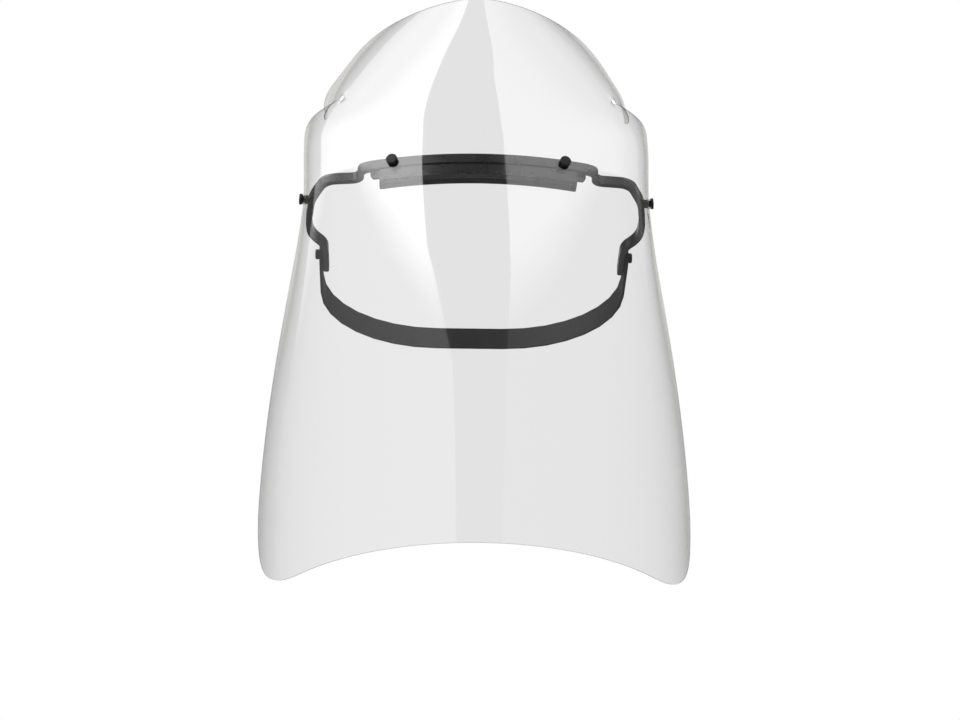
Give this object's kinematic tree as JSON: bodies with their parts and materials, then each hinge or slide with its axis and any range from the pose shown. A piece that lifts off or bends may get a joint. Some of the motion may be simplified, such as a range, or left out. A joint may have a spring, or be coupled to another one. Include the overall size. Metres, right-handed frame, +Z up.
{
  "type": "face shield",
  "caption": "Face shield with a long clear bent visor held by studs on a slim headband, with a brow pad and a perforated rear strap.",
  "frame": {"origin": "centre of the head opening, level with the middle of the headband strip", "axes": "+Z up along the upright film, -Y out through the front of the visor, +X towards the right of the view from the front"},
  "size_m": [0.2134, 0.1952, 0.301],
  "materials": {
    "clear_film": "clear glossy plastic film",
    "frame_plastic": "satin moulded, near black",
    "stud_plastic": "finely textured, black",
    "pad_foam": "closed-cell foam, charcoal",
    "strap_rubber": "soft moulded elastomer, matte"
  },
  "bodies": {
    "shield": {"visor_film": "clear_film", "headband_frame": "frame_plastic", "brow_pad_carrier": "frame_plastic", "brow_pad_foam": "pad_foam", "front_stud_left": "stud_plastic", "front_stud_right": "stud_plastic", "side_stud_left": "stud_plastic", "side_stud_right": "stud_plastic", "front_washer_left": "stud_plastic", "front_washer_right": "stud_plastic", "side_washer_left": "stud_plastic", "side_washer_right": "stud_plastic", "strap_stud_left": "stud_plastic", "strap_stud_right": "stud_plastic"},
    "strap": {"rear_strap": "strap_rubber"}
  },
  "joints": [
    {"name": "strap_swing", "type": "hinge", "parent": "shield", "child": "strap", "pos_m": [0, 0.003, 0], "axis": [1, 0, 0], "range_deg": [-35, 35]}
  ]
}
